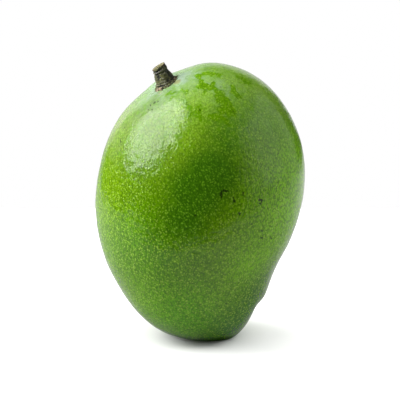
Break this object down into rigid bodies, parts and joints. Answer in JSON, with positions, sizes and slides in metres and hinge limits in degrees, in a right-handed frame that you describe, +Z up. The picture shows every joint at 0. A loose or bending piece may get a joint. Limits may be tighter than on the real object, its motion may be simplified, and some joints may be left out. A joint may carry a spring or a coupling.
{
  "type": "green mango",
  "caption": "Unripe green mango with a cut stem stub and corky stem collar, standing upright on a small flat spot at its blossom end.",
  "frame": {"origin": "on the small flat spot at the blossom end, straight below the fruit's centre, on the surface that the fruit stands on", "axes": "+Z up through the fruit; -Y faces the viewer of the broad side; +X to that viewer's right, the side with the beak"},
  "size_m": [0.0898, 0.0774, 0.12],
  "materials": {
    "skin": "waxy green fruit skin, satin gloss, pale pin-point lenticels, thin grey-blue bloom round the stem",
    "stalk": "dry olive-brown fruit stalk, matt, ridged, with a pale cut end",
    "cork": "dry pinkish-brown cork, matt and cracked"
  },
  "bodies": {
    "root": {"fruit": "skin", "stem": "stalk", "stem_collar": "cork"}
  },
  "joints": []
}
